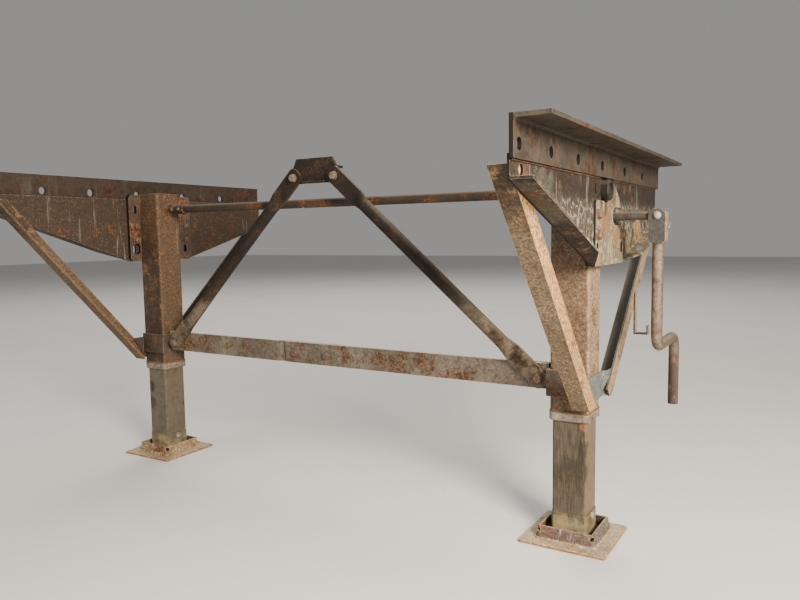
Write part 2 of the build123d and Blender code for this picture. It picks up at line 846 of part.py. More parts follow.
# Gear case: behind the left leg, with the crank shaft's bore
case_height = case_top_z - case_foot_z
case_width = case_in + outer_half
with BuildPart() as gear_case:
    with BuildSketch(side_plane(-case_in)):
        with Locations((outer_half + case_depth / 2, (case_top_z + case_foot_z) / 2)):
            RectangleRounded(case_depth, case_height, case_corner)
    extrude(amount=case_width)
    with BuildSketch(side_plane(-case_in)):
        with Locations((outer_half + case_depth / 2, (case_top_z + case_foot_z) / 2)):
            RectangleRounded(case_depth - case_lid, case_height - case_lid, case_corner - case_lid / 2)
    extrude(amount=-case_lid)
    with BuildSketch(side_plane(-case_in)):
        with Locations((crank_back, crank_z)):
            Circle(crank_radius + running_gap)
    extrude(amount=case_width, mode=Mode.SUBTRACT)
save(gear_case, "gear_case")

# Crank shaft: a round bar with a rounded, cross-drilled end
with BuildPart() as crank_shaft:
    with BuildSketch(side_plane(-case_in)):
        with Locations((crank_back, crank_z)):
            Circle(crank_radius)
    extrude(amount=case_in + pivot_out)
    pivot_plane = Plane(
        origin=(leg_x + pivot_out, leg_back + crank_back, crank_z), x_dir=(1, 0, 0), z_dir=(0, -1, 0)
    )
    with BuildSketch(pivot_plane):
        Circle(crank_radius)
    extrude(amount=crank_eye_half, both=True)
    with BuildSketch(pivot_plane):
        Circle(pivot_radius + running_gap)
    extrude(amount=2 * crank_radius, both=True, mode=Mode.SUBTRACT)
save(crank_shaft, "crank_shaft")

# Clevis: a folded channel that the crank shaft's end and the handle's tube sit in
clevis_gap = 2 * (handle_radius + handle_gap)
clevis_width = clevis_gap + 2 * clevis_thick
clevis_web_in = handle_radius + handle_gap
clevis_web_out = clevis_web_in + clevis_thick
with BuildPart() as clevis:
    with BuildSketch(pivot_plane):
        with BuildLine():
            Polyline(
                (-clevis_in, clevis_top - clevis_top_cut),
                (-clevis_in + clevis_top_cut, clevis_top),
                (clevis_web_out - clevis_top_cut, clevis_top),
                (clevis_web_out, clevis_top - clevis_top_cut),
                (clevis_web_out, clevis_foot_cut - clevis_foot),
                (clevis_web_out - clevis_foot_cut, -clevis_foot),
                (clevis_foot_cut - clevis_in, -clevis_foot),
                (-clevis_in, clevis_foot_cut - clevis_foot),
                close=True,
            )
        make_face()
    extrude(amount=clevis_width / 2, both=True)
    with BuildSketch(pivot_plane):
        with BuildLine():
            Polyline(
                (-clevis_in, clevis_top),
                (clevis_web_in, clevis_top),
                (clevis_web_in, -clevis_foot),
                (-clevis_in, -clevis_foot),
                close=True,
            )
        make_face()
    extrude(amount=clevis_gap / 2, both=True, mode=Mode.SUBTRACT)
    with BuildSketch(pivot_plane):
        Circle(pivot_radius)
    extrude(amount=clevis_width, both=True, mode=Mode.SUBTRACT)
save(clevis, "crank_clevis")

# Pivot bolt
with BuildPart() as pivot_bolt:
    with BuildSketch(pivot_plane):
        Circle(pivot_radius)
    extrude(amount=clevis_width / 2, both=True)
    for way in (-1, 1):
        with BuildSketch(pivot_plane.offset(way * clevis_width / 2)):
            RegularPolygon(pivot_head_radius, 6)
        extrude(amount=way * pivot_head_height)
save(pivot_bolt, "pivot_bolt")

# Handle: one bent tube, down from the clevis, back, and down again for the grip
handle_path = [
    (0, 0, -tube_top),
    (0, 0, -arm_drop),
    (0, throw_length, -arm_drop),
    (0, throw_length, -arm_drop - grip_drop),
]
with BuildPart() as handle:
    pivot_point = Vector(leg_x + pivot_out, leg_back + crank_back, crank_z)
    with BuildLine():
        FilletPolyline(*[pivot_point + Vector(*spot) for spot in handle_path], radius=handle_bend)
    with BuildSketch(Plane(origin=pivot_point - Vector(0, 0, tube_top), z_dir=(0, 0, -1))):
        Circle(handle_radius)
        Circle(handle_radius - handle_wall, mode=Mode.SUBTRACT)
    sweep()
save(handle, "crank_handle")

# Hook: a bent strap on the left rear brace
with BuildPart() as hook:
    with BuildSketch(
        Plane(origin=(leg_x + rear_brace_out, leg_back + hook_back, 0), x_dir=(1, 0, 0), z_dir=(0, -1, 0))
    ):
        with BuildLine():
            Polyline(
                (0, hook_top_z),
                (hook_thick, hook_top_z),
                (hook_thick, hook_foot_z + hook_thick),
                (hook_reach - hook_thick, hook_foot_z + hook_thick),
                (hook_reach - hook_thick, hook_foot_z + hook_tip),
                (hook_reach, hook_foot_z + hook_tip),
                (hook_reach, hook_foot_z),
                (0, hook_foot_z),
                close=True,
            )
        make_face()
    extrude(amount=hook_width / 2, both=True)
save(hook, "crank_hook")
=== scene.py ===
from math import cos, pi, radians, sin

import bmesh
import bpy
from mathutils import Matrix, Vector


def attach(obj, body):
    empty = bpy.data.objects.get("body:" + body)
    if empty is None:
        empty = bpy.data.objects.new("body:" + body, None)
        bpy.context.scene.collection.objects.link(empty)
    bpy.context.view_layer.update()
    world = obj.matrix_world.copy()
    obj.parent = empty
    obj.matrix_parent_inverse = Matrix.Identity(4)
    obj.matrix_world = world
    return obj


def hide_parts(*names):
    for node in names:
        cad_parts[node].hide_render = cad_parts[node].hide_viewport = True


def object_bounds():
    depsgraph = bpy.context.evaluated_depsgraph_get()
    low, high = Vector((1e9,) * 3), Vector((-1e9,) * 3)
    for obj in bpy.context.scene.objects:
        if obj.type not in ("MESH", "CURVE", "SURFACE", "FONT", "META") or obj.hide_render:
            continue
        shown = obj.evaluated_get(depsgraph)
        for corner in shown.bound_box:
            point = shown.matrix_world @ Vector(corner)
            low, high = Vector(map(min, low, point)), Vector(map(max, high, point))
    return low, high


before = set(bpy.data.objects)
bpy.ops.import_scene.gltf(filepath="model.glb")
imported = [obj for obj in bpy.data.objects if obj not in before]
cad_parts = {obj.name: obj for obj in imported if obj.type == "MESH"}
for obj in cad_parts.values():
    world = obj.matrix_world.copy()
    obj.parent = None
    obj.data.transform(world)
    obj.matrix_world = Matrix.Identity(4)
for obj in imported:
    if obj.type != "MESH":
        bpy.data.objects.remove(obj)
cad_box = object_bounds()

# Landing gear of a semi trailer: two crank-down legs on sand shoes, hung from rails and wing
# plates and braced lengthways and crossways. Steel throughout: painted once, now weathered.

# Viewpoint
# Low beside the gear's left front, looking inwards and to the rear past the crank.
# The frame is turned a little, as it was in the hand.
eye = Vector((1.5187, -1.9710, -0.2365))
heading = radians(31.44)
fall = radians(5.31)
roll = radians(0.84)
ahead = Vector((-sin(heading) * cos(fall), cos(heading) * cos(fall), -sin(fall)))
level = Vector((cos(heading), sin(heading), 0))
down = ahead.cross(level)
across = level * cos(roll) + down * sin(roll)
below = down * cos(roll) - level * sin(roll)
lens = bpy.data.cameras.new("camera")
lens.sensor_fit = "HORIZONTAL"
lens.sensor_width = 36.0
lens.lens = 31.84
lens.clip_start = 0.05
lens.clip_end = 60.0
camera = bpy.data.objects.new("camera", lens)
bpy.context.collection.objects.link(camera)
turned_to_view = Matrix((across, -below, -ahead)).transposed().to_4x4()
camera.matrix_world = Matrix.Translation(eye) @ turned_to_view
bpy.context.scene.camera = camera

# Floor
# A plain pale sheet that the shoes stand on, far wider than the gear. It has a faint mottling,
# and lies half a millimetre below the soles.
ground_level = cad_box[0][2]
floor_reach = 24.0
floor_gap = 0.0005


def new_object(name, form):
    """A mesh object in the scene, made from a bmesh that is used up by it."""
    mesh = bpy.data.meshes.new(name)
    form.to_mesh(mesh)
    form.free()
    thing = bpy.data.objects.new(name, mesh)
    bpy.context.collection.objects.link(thing)
    return thing


def put(tree, socket, value):
    """Sets a socket to a number or colour, or links another node's output into it."""
    if isinstance(value, bpy.types.NodeSocket):
        tree.links.new(value, socket)
    elif isinstance(value, (tuple, list)) and len(value) == 3 and socket.type == "RGBA":
        socket.default_value = (*value, 1.0)
    else:
        socket.default_value = value


def place_node(tree, kind, inputs, **settings):
    """A shader node with its settings and its inputs by name or by number."""
    made = tree.nodes.new("ShaderNode" + kind)
    for setting, value in settings.items():
        setattr(made, setting, value)
    for key, value in inputs.items():
        put(tree, made.inputs[key], value)
    return made


def noise(tree, vector, scale, detail=5.0, roughness=0.6, distortion=0.0):
    """The grey output of a Noise Texture."""
    inputs = {
        "Vector": vector,
        "Scale": scale,
        "Detail": detail,
        "Roughness": roughness,
        "Distortion": distortion,
    }
    return place_node(tree, "TexNoise", inputs).outputs[0]


def lay_over(tree, mask, under, over, blend="MIX"):
    """One colour laid over another where the mask is white, or blended with it some other way."""
    mixer = place_node(tree, "Mix", {}, data_type="RGBA", blend_type=blend)
    put(tree, mixer.inputs[0], mask)
    put(tree, mixer.inputs[6], under)
    put(tree, mixer.inputs[7], over)
    return mixer.outputs[2]


def new_material(name):
    """An empty material: its node tree, its Principled BSDF and the object's own coordinates."""
    material = bpy.data.materials.new(name)
    material.use_nodes = True
    tree = material.node_tree
    shader = tree.nodes["Principled BSDF"]
    coords = place_node(tree, "TexCoord", {}).outputs["Object"]
    return material, tree, shader, coords


floor_form = bmesh.new()
bmesh.ops.create_grid(floor_form, x_segments=2, y_segments=2, size=floor_reach)
bmesh.ops.translate(floor_form, verts=floor_form.verts, vec=(0, 0, ground_level - floor_gap))
floor = new_object("studio_floor", floor_form)
floor_material, tree, shader, coords = new_material("pale floor")
clouds = noise(tree, coords, scale=1.3, detail=4.0)
floor_colour = lay_over(tree, clouds, (0.62, 0.61, 0.59), (0.70, 0.69, 0.67))
put(tree, shader.inputs["Base Color"], floor_colour)
put(tree, shader.inputs["Roughness"], 0.9)
floor.data.materials.append(floor_material)

# Studio light
# One soft light from the gear's left front, a weak one from the other side, one from above its
# back, and an even pale surround.
world = bpy.data.worlds.new("studio")
bpy.context.scene.world = world
world.use_nodes = True
backdrop = world.node_tree.nodes["Background"]
backdrop.inputs["Color"].default_value = (0.82, 0.81, 0.79, 1.0)
backdrop.inputs["Strength"].default_value = 0.34
bpy.context.scene.view_settings.look = "AgX - Medium High Contrast"
gear_middle = Vector((0.2, 0.0, -0.5))


def studio_lamp(name, towards, distance, size, power, colour):
    """A square area light, at a distance from the gear's middle along a direction."""
    lamp = bpy.data.lights.new(name, "AREA")
    lamp.size = size
    lamp.energy = power
    lamp.color = colour
    holder = bpy.data.objects.new(name, lamp)
    bpy.context.collection.objects.link(holder)
    aim = Vector(towards).normalized()
    turned_to_gear = aim.to_track_quat("Z", "Y").to_matrix().to_4x4()
    holder.matrix_world = Matrix.Translation(gear_middle + aim * distance) @ turned_to_gear


studio_lamp("key_light", (0.80, -0.52, 0.34), 3.7, 1.2, 245.0, (1.0, 0.89, 0.77))
studio_lamp("side_light", (-0.7, -0.8, 0.5), 7.0, 4.0, 75.0, (0.90, 0.95, 1.0))
studio_lamp("back_light", (-0.38, 0.60, 0.90), 11.0, 6.0, 640.0, (1.0, 0.96, 0.90))

# Rails
# Hot-rolled angles that the whole gear is bolted up by, painted once and now a dull brown with
# reddish rust. Their darkness is partly painted shade, deeper on the right side and the inner
# faces. What the weathered finishes share is built here.


def sums(tree, operation, first, second=0.5, third=0.5):
    """The output of a Math node."""
    inputs = {0: first, 1: second, 2: third}
    return place_node(tree, "Math", inputs, operation=operation).outputs[0]


def between(tree, value, low, high):
    """0 below low, 1 above high and a smooth step from one to the other."""
    inputs = {"Value": value, "From Min": low, "From Max": high}
    step = place_node(tree, "MapRange", inputs, interpolation_type="SMOOTHSTEP")
    return step.outputs[0]


def parts(tree, vector):
    """The x, y and z outputs of a vector."""
    return place_node(tree, "SeparateXYZ", {0: vector}).outputs


def effect(name, inputs, outputs):
    """A shader node group: its tree, and its named inputs and outputs as seen from inside."""
    tree = bpy.data.node_groups.new(name, "ShaderNodeTree")
    for label, kind, value in inputs:
        kind = "NodeSocket" + kind
        socket = tree.interface.new_socket(label, in_out="INPUT", socket_type=kind)
        if value is not None:
            socket.default_value = value
    for label, kind in outputs:
        tree.interface.new_socket(label, in_out="OUTPUT", socket_type="NodeSocket" + kind)
    given = tree.nodes.new("NodeGroupInput").outputs
    result = tree.nodes.new("NodeGroupOutput").inputs
    return tree, given, result


def apply_effect(tree, group, inputs):
    """Places a shared effect in a material, with its own values."""
    placed = tree.nodes.new("ShaderNodeGroup")
    placed.node_tree = group
    for key, value in inputs.items():
        put(tree, placed.inputs[key], value)
    return placed.outputs


# Edge wear: where paint has gone from a corner, with a ragged border
edge_wear, given, result = effect(
    "edge wear",
    [("Vector", "Vector", None), ("Width", "Float", 0.004), ("Raggedness", "Float", 90.0)],
    [("Mask", "Float")],
)
rounded = place_node(edge_wear, "Bevel", {"Radius": given["Width"]}, samples=6).outputs[0]
flat = place_node(edge_wear, "NewGeometry", {}).outputs["Normal"]
likeness = place_node(edge_wear, "VectorMath", {0: rounded, 1: flat}, operation="DOT_PRODUCT")
corner_bend = sums(edge_wear, "SUBTRACT", 1.0, likeness.outputs["Value"])
grit = noise(edge_wear, given["Vector"], given["Raggedness"], detail=5.0, roughness=0.7)
centred_grit = sums(edge_wear, "MULTIPLY_ADD", grit, 2.2, -1.1)
worn = sums(edge_wear, "MULTIPLY_ADD", corner_bend, 2.4, centred_grit)
put(edge_wear, result["Mask"], between(edge_wear, worn, 0.38, 0.66))

# Rust bloom: patches of rust, dark where it is thick and orange where it is fresh
rust_bloom, given, result = effect(
    "rust bloom",
    [
        ("Vector", "Vector", None),
        ("Scale", "Float", 9.0),
        ("Coverage", "Float", 0.4),
        ("Dark", "Color", (0.045, 0.024, 0.016, 1)),
        ("Fresh", "Color", (0.30, 0.12, 0.045, 1)),
    ],
    [("Mask", "Float"), ("Color", "Color"), ("Height", "Float")],
)
patches = noise(
    rust_bloom, given["Vector"], given["Scale"], detail=9.0, roughness=0.68, distortion=0.25
)
patch_edge = sums(rust_bloom, "MULTIPLY_ADD", given["Coverage"], -0.44, 0.72)
high_edge = sums(rust_bloom, "ADD", patch_edge, 0.07)
low_edge = sums(rust_bloom, "SUBTRACT", patch_edge, 0.05)
rusty = between(rust_bloom, patches, low_edge, high_edge)
crust_scale = sums(rust_bloom, "MULTIPLY", given["Scale"], 9.0)
crust = noise(rust_bloom, given["Vector"], crust_scale, detail=6.0, roughness=0.75)
fresh_share = between(rust_bloom, crust, 0.38, 0.66)
rust_colour = lay_over(rust_bloom, fresh_share, given["Dark"], given["Fresh"])
put(rust_bloom, result["Mask"], rusty)
put(rust_bloom, result["Color"], rust_colour)
put(rust_bloom, result["Height"], sums(rust_bloom, "MULTIPLY", crust, rusty))

# Speckle: small spots a few millimetres across
speckle, given, result = effect(
    "speckle",
    [("Vector", "Vector", None), ("Fineness", "Float", 150.0), ("Density", "Float", 0.5)],
    [("Mask", "Float")],
)
dots = noise(speckle, given["Vector"], given["Fineness"], detail=3.0, roughness=0.75)
dot_edge = sums(speckle, "MULTIPLY_ADD", given["Density"], -0.36, 0.68)
high_edge = sums(speckle, "ADD", dot_edge, 0.13)
put(speckle, result["Mask"], between(speckle, dots, dot_edge, high_edge))

# Runs: streaks that water has drawn down a face
water_runs, given, result = effect(
    "water runs",
    [
        ("Vector", "Vector", None),
        ("Spacing", "Float", 42.0),
        ("Stretch", "Float", 0.07),
        ("Density", "Float", 0.5),
    ],
    [("Mask", "Float")],
)
squeeze = place_node(water_runs, "CombineXYZ", {0: 1.0, 1: 1.0, 2: given["Stretch"]}).outputs[0]
drawn = place_node(
    water_runs, "VectorMath", {0: given["Vector"], 1: squeeze}, operation="MULTIPLY"
).outputs[0]
lines = noise(water_runs, drawn, given["Spacing"], detail=6.0, roughness=0.62, distortion=0.25)
breaks = noise(water_runs, given["Vector"], scale=7.0, detail=4.0, roughness=0.6)
drawn_out = sums(water_runs, "MULTIPLY_ADD", breaks, 0.45, lines)
run_edge = sums(water_runs, "MULTIPLY_ADD", given["Density"], -0.50, 0.99)
high_edge = sums(water_runs, "ADD", run_edge, 0.10)
put(water_runs, result["Mask"], between(water_runs, drawn_out, run_edge, high_edge))

# Flaking: paint that has lifted in scales, with a raised rim where it still holds
flaking, given, result = effect(
    "flaking paint",
    [("Vector", "Vector", None), ("Scale", "Float", 20.0), ("Loss", "Float", 0.4)],
    [("Mask", "Float"), ("Rim", "Float"), ("Height", "Float")],
)
scales = noise(
    flaking, given["Vector"], given["Scale"], detail=8.0, roughness=0.66, distortion=0.5
)
scale_edge = sums(flaking, "MULTIPLY_ADD", given["Loss"], -0.40, 0.70)
gone = between(flaking, scales, scale_edge, sums(flaking, "ADD", scale_edge, 0.018))
near_rim = between(flaking, scales, sums(flaking, "SUBTRACT", scale_edge, 0.030), scale_edge)
raised_rim = sums(flaking, "MULTIPLY", near_rim, 0.4)
put(flaking, result["Mask"], gone)
put(flaking, result["Rim"], sums(flaking, "SUBTRACT", near_rim, gone))
put(flaking, result["Height"], sums(flaking, "SUBTRACT", raised_rim, gone))

# Road dirt: dust on what faces up, and mud thrown up from the ground
road_dirt, given, result = effect(
    "road dirt",
    [("Vector", "Vector", None), ("Reach", "Float", 0.25), ("Dust", "Float", 0.6)],
    [("Mask", "Float")],
)
above = sums(road_dirt, "SUBTRACT", parts(road_dirt, given["Vector"])[2], ground_level)
share_up = sums(road_dirt, "DIVIDE", above, given["Reach"])
near_ground = sums(road_dirt, "SUBTRACT", 1.0, share_up)
cloud = noise(road_dirt, given["Vector"], scale=26.0, detail=7.0, roughness=0.7)
centred_cloud = sums(road_dirt, "MULTIPLY_ADD", cloud, 1.6, -0.8)
mud = between(road_dirt, sums(road_dirt, "ADD", near_ground, centred_cloud), 0.25, 1.0)
upward = parts(road_dirt, place_node(road_dirt, "NewGeometry", {}).outputs["Normal"])[2]
settled = between(road_dirt, sums(road_dirt, "MULTIPLY_ADD", cloud, 0.5, upward), 0.55, 1.1)
dusty = sums(road_dirt, "MULTIPLY", settled, given["Dust"])
put(road_dirt, result["Mask"], sums(road_dirt, "MAXIMUM", mud, dusty))

# Stain: a ragged patch round one place, the same on the left and on the right
stain, given, result = effect(
    "stain",
    [("Vector", "Vector", None), ("Centre", "Vector", None), ("Radius", "Float", 0.05)],
    [("Mask", "Float")],
)
unsigned = place_node(stain, "VectorMath", {0: given["Vector"]}, operation="ABSOLUTE")
distance_out = parts(stain, unsigned.outputs[0])[0]
spot = parts(stain, given["Vector"])
mirrored = place_node(stain, "CombineXYZ", {0: distance_out, 1: spot[1], 2: spot[2]}).outputs[0]
to_centre = place_node(
    stain, "VectorMath", {0: mirrored, 1: given["Centre"]}, operation="DISTANCE"
).outputs["Value"]
ragged = noise(stain, given["Vector"], scale=32.0, detail=7.0, roughness=0.7)
raggedness = sums(stain, "MULTIPLY_ADD", ragged, 2.4, -0.2)
spread = sums(stain, "MULTIPLY", given["Radius"], raggedness)
nearness = sums(stain, "SUBTRACT", 1.0, sums(stain, "DIVIDE", to_centre, spread))
put(stain, result["Mask"], between(stain, nearness, 0.0, 0.35))


def weathered_steel(
    name,
    paint,
    shade,
    rust=(0.045, 0.024, 0.016),
    fresh=(0.30, 0.12, 0.045),
    rust_cover=0.35,
    rust_scale=9.0,
    spots=(1.9, 1.78, 1.62),
    spot_density=0.3,
    spot_fineness=230.0,
    spot_strength=0.75,
    run_colour=(0.55, 0.52, 0.46),
    run_density=0.3,
    run_spacing=42.0,
    run_strength=0.6,
    edge_colour=(0.45, 0.38, 0.30),
    edge_width=0.003,
    dirt=(0.42, 0.38, 0.32),
    dirt_reach=0.25,
    dust=0.35,
    mottle=(70.0, 0.45),
    flakes=None,
    bands=(),
    stains=(),
    shaded_cut_edges=None,
    roughness=0.75,
    relief=0.0007,
):
    """Painted steel that has weathered. From the paint up, it lays flaking, bands, stains, mottle,
    rust, spots, runs, bare edges, dirt and cut edges with painted shade in their holes.

    spots is a factor on the colour below, and the other colours are laid on as they are. mottle
    is (scale, depth). flakes is (scale, loss, colour under the paint, colour of the rim). bands
    are ((guide, low, high), colour): nothing at low and full at high, where the guide is x, z or
    which way the face looks; on many materials they carry painted light and painted shade.
    stains are (centre, radius, colour), and stay off the faces that look to the gear's middle.
    shaded_cut_edges is (distance out, colour), for the sawn and punched edges of a plate that
    lies within that distance of the middle and the walls of its holes: a dark colour that is
    partly the cut steel and partly painted shade in the holes.
    """
    material, tree, shader, coords = new_material(name)
    tone = noise(tree, coords, scale=7.0, detail=7.0, roughness=0.7, distortion=0.4)
    colour = lay_over(tree, between(tree, tone, 0.35, 0.65), shade, paint)
    heights = [noise(tree, coords, scale=220.0, detail=4.0, roughness=0.7)]
    if flakes:
        scale, loss, bare, rim = flakes
        peel = apply_effect(tree, flaking, {"Vector": coords, "Scale": scale, "Loss": loss})
        colour = lay_over(tree, peel["Mask"], colour, bare)
        colour = lay_over(tree, peel["Rim"], colour, rim)
        heights.append(sums(tree, "MULTIPLY", peel["Height"], 1.2))

    spot = parts(tree, coords)
    facing = parts(tree, place_node(tree, "TexCoord", {}).outputs["Normal"])
    outward = sums(tree, "MULTIPLY", facing[0], sums(tree, "SIGN", spot[0]))
    guides = {
        "x": spot[0],
        "z": spot[2],
        "facing back": facing[1],
        "facing up": facing[2],
        "facing out": outward,
    }
    blur = noise(tree, coords, scale=14.0, detail=6.0, roughness=0.7)
    uneven = sums(tree, "MULTIPLY_ADD", tone, 0.5, 0.66)
    for (guide, low, high), band_colour in bands:
        value = guides[guide]
        if guide in ("x", "z"):
            wander = (high - low) * 0.9
            shift = sums(tree, "MULTIPLY_ADD", blur, wander, -wander / 2)
            value = sums(tree, "ADD", value, shift)
        mask = sums(tree, "MULTIPLY", between(tree, value, low, high), uneven)
        colour = lay_over(tree, sums(tree, "MINIMUM", mask, 1.0), colour, band_colour)
    not_inside = sums(tree, "GREATER_THAN", outward, -0.3)
    for centre, radius, stain_colour in stains:
        patch = apply_effect(tree, stain, {"Vector": coords, "Centre": centre, "Radius": radius})
        mask = sums(tree, "MULTIPLY", patch["Mask"], not_inside)
        colour = lay_over(tree, mask, colour, stain_colour)

    blotch_scale, depth = mottle
    blotches = noise(tree, coords, blotch_scale, detail=8.0, roughness=0.75, distortion=0.6)
    mask = sums(tree, "MULTIPLY", between(tree, blotches, 0.47, 0.58), depth)
    colour = lay_over(tree, mask, colour, rust)
    inputs = {"Scale": rust_scale, "Coverage": rust_cover, "Dark": rust, "Fresh": fresh}
    bloom = apply_effect(tree, rust_bloom, {"Vector": coords, **inputs})
    colour = lay_over(tree, bloom["Mask"], colour, bloom["Color"])
    heights.append(bloom["Height"])
    inputs = {"Vector": coords, "Fineness": spot_fineness, "Density": spot_density}
    mask = sums(tree, "MULTIPLY", apply_effect(tree, speckle, inputs)["Mask"], spot_strength)
    colour = lay_over(tree, mask, colour, spots, blend="MULTIPLY")
    inputs = {"Vector": coords, "Spacing": run_spacing, "Density": run_density}
    mask = sums(tree, "MULTIPLY", apply_effect(tree, water_runs, inputs)["Mask"], run_strength)
    colour = lay_over(tree, mask, colour, run_colour)
    wear = apply_effect(tree, edge_wear, {"Vector": coords, "Width": edge_width})["Mask"]
    colour = lay_over(tree, wear, colour, edge_colour)
    inputs = {"Vector": coords, "Reach": dirt_reach, "Dust": dust}
    colour = lay_over(tree, apply_effect(tree, road_dirt, inputs)["Mask"], colour, dirt)
    # Cut edges and hole walls, dark: partly the cut steel and partly painted shade in the holes
    if shaded_cut_edges:
        limit, edge_and_hole_shade = shaded_cut_edges
        sideways = sums(tree, "LESS_THAN", sums(tree, "ABSOLUTE", facing[0]), 0.4)
        within = sums(tree, "LESS_THAN", sums(tree, "ABSOLUTE", spot[0]), limit)
        colour = lay_over(tree, sums(tree, "MULTIPLY", sideways, within), colour, edge_and_hole_shade)

    put(tree, shader.inputs["Base Color"], colour)
    dull = sums(tree, "MULTIPLY_ADD", bloom["Mask"], 0.12, roughness - 0.06)
    put(tree, shader.inputs["Roughness"], sums(tree, "MULTIPLY_ADD", wear, -0.18, dull))
    put(tree, shader.inputs["Metallic"], sums(tree, "MULTIPLY", wear, 0.3))
    height = heights[0]
    for more in heights[1:]:
        height = sums(tree, "ADD", height, more)
    softened = place_node(tree, "Bevel", {"Radius": 0.0012}, samples=4).outputs[0]
    inputs = {"Height": height, "Distance": relief, "Strength": 0.75, "Normal": softened}
    put(tree, shader.inputs["Normal"], place_node(tree, "Bump", inputs).outputs["Normal"])
    return material


def dress(nodes, material):
    """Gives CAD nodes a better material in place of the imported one."""
    for node in nodes:
        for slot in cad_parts[node].material_slots:
            slot.material = material


def both(stem):
    """The names of a left and right pair."""
    return [f"{stem}_left", f"{stem}_right"]


# Guides for bands of painted light and shade: the gear's right side, whose pieces are darkened
# or lightened, and the faces that look to its middle, which are darkened
far_side_light_and_shade = ("x", -0.70, -0.80)
shaded_inner_faces = ("facing out", -0.4, -0.8)
# Its dark paint is partly painted shade, and its bands are painted shade
shaded_rail_steel = weathered_steel(
    "rail steel with painted shade",
    paint=(0.082, 0.070, 0.052),
    shade=(0.046, 0.040, 0.031),
    rust=(0.025, 0.015, 0.010),
    fresh=(0.093, 0.043, 0.026),
    rust_cover=0.40,
    rust_scale=7.0,
    spot_density=0.40,
    run_colour=(0.093, 0.081, 0.065),
    run_density=0.40,
    run_strength=0.5,
    edge_colour=(0.24, 0.195, 0.15),
    edge_width=0.0022,
    dust=0.15,
    mottle=(45.0, 0.55),
    bands=[(far_side_light_and_shade, (0.034, 0.028, 0.021)), (shaded_inner_faces, (0.050, 0.038, 0.028))],
    shaded_cut_edges=(0.97160, (0.009, 0.007, 0.006)),
)
dress(both("mounting_rail"), shaded_rail_steel)

# Wing plates
# Bent plates bolted behind the rails' webs, with their slanted edges folded out. Their grey
# paint has peeled and run, pale below, with painted shade along the rail, under the folded
# edges, on the inner faces and on the right side.
wing_paint = weathered_steel(
    "wing paint",
    paint=(0.300, 0.312, 0.275),
    shade=(0.172, 0.184, 0.166),
    rust=(0.053, 0.032, 0.020),
    fresh=(0.160, 0.090, 0.046),
    rust_cover=0.30,
    rust_scale=11.0,
    spots=(2.5, 2.5, 2.4),
    spot_density=0.42,
    spot_fineness=120.0,
    run_colour=(0.30, 0.30, 0.255),
    run_density=0.34,
    run_spacing=60.0,
    run_strength=0.38,
    edge_colour=(0.60, 0.53, 0.43),
    edge_width=0.0025,
    dust=0.2,
    mottle=(95.0, 0.55),
    flakes=(58.0, 0.62, (0.075, 0.062, 0.046), (0.36, 0.35, 0.29)),
    # Painted shade: the right side, a band along the rail, faces that look down and the inner
    # faces
    bands=[
        (far_side_light_and_shade, (0.038, 0.031, 0.024)),
        (("z", -0.185, -0.135), (0.027, 0.023, 0.018)),
        (("z", -0.165, -0.120), (0.022, 0.018, 0.014)),
        (("facing up", -0.4, -0.7), (0.017, 0.011, 0.008)),
        (shaded_inner_faces, (0.060, 0.043, 0.030)),
    ],
    stains=[
        ((0.962, -0.450, -0.170), 0.100, (0.070, 0.068, 0.053)),
        ((0.962, 0.455, -0.235), 0.052, (0.34, 0.215, 0.105)),
        ((0.962, 0.330, -0.275), 0.042, (0.30, 0.235, 0.145)),
        ((0.962, -0.560, -0.150), 0.080, (0.055, 0.045, 0.036)),
    ],
    shaded_cut_edges=(0.96210, (0.010, 0.008, 0.006)),
)
dress(both("wing_plate"), wing_paint)

# Leg plates
# Thick plates welded on the legs, in the leg's own paint. Bolts through the clamp plates and
# wing plates have their nuts behind them.
leg_plate_paint = weathered_steel(
    "leg plate paint",
    paint=(0.125, 0.098, 0.072),
    shade=(0.075, 0.058, 0.044),
    rust_cover=0.42,
    spot_density=0.35,
    run_colour=(0.19, 0.165, 0.135),
    shaded_cut_edges=(0.95610, (0.012, 0.009, 0.007)),
)
dress(both("leg_plate"), leg_plate_paint)
sides = (("left", 1), ("right", -1))


def ring_of(form, centre, axis, side, radius, count, turn=0.0):
    """Vertices on a circle about an axis."""
    other = axis.cross(side)
    ring = []
    for i in range(count):
        angle = turn + 2 * pi * i / count
        ring.append(form.verts.new(centre + (side * cos(angle) + other * sin(angle)) * radius))
    return ring


def bridge(form, first, second):
    """Faces between two rings of the same count."""
    for i in range(len(first)):
        j = (i + 1) % len(first)
        form.faces.new((first[i], first[j], second[j], second[i]))


def cap_ends(form, rings):
    """Closes the first and the last of a row of rings."""
    form.faces.new(list(reversed(rings[0])))
    form.faces.new(rings[-1])


def turned(form, centre, axis, profile, count=20, turn=0.0):
    """A turned or many-sided solid: the profile's pairs are (distance along the axis, radius)."""
    axis = Vector(axis).normalized()
    side = axis.orthogonal().normalized()
    rings = []
    for along, radius in profile:
        rings.append(ring_of(form, Vector(centre) + axis * along, axis, side, radius, count, turn))
    for first, second in zip(rings, rings[1:]):
        bridge(form, first, second)
    cap_ends(form, rings)


